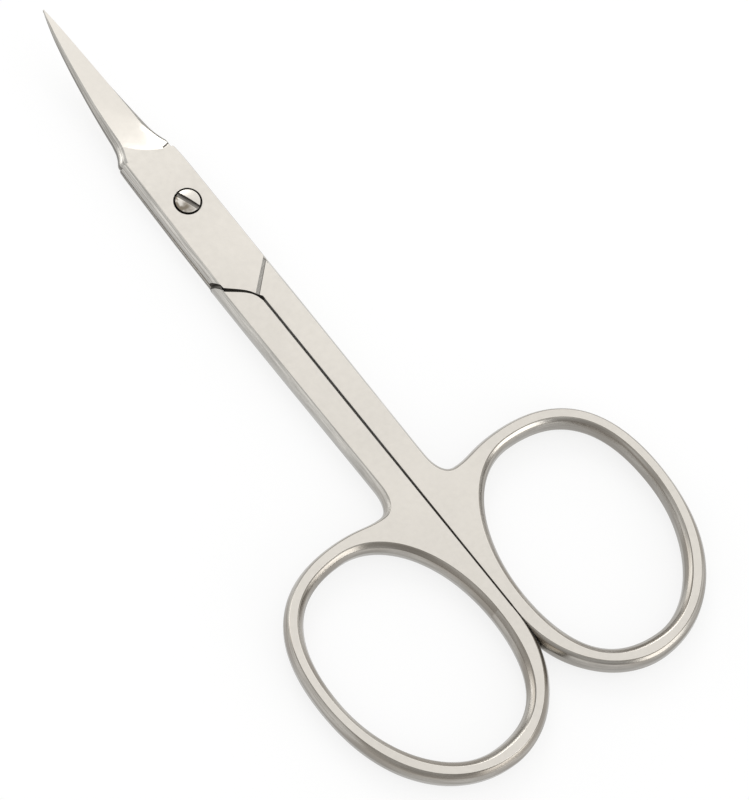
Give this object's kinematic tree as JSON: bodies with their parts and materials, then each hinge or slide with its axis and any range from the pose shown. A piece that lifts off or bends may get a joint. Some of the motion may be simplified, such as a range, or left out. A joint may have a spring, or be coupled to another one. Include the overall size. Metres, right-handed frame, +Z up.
{
  "type": "manicure scissors",
  "caption": "Small steel manicure scissors with slim pointed blades curved upwards, a slotted pivot screw and oval finger rings.",
  "frame": {"origin": "on the pivot screw's axis, level with the ground faces that the closed scissors lie on", "axes": "+Z up along the pivot screw towards its slotted head, +Y towards the blade tips, +X towards the ring of the half whose plate lies on top"},
  "size_m": [0.0434, 0.0899, 0.0056],
  "materials": {
    "back_half": "fine satin ground faces, polished rounded sides",
    "front_half": "fine satin ground faces, polished rounded sides",
    "pivot_screw": "fine satin, bright slot and rim"
  },
  "bodies": {
    "back": {"back_half": "back_half", "pivot_screw": "pivot_screw"},
    "front": {"front_half": "front_half"}
  },
  "joints": [
    {"name": "pivot", "type": "hinge", "parent": "back", "child": "front", "pos_m": [0, 0, 0], "axis": [0, 0, 1], "range_deg": [0, 120]}
  ]
}
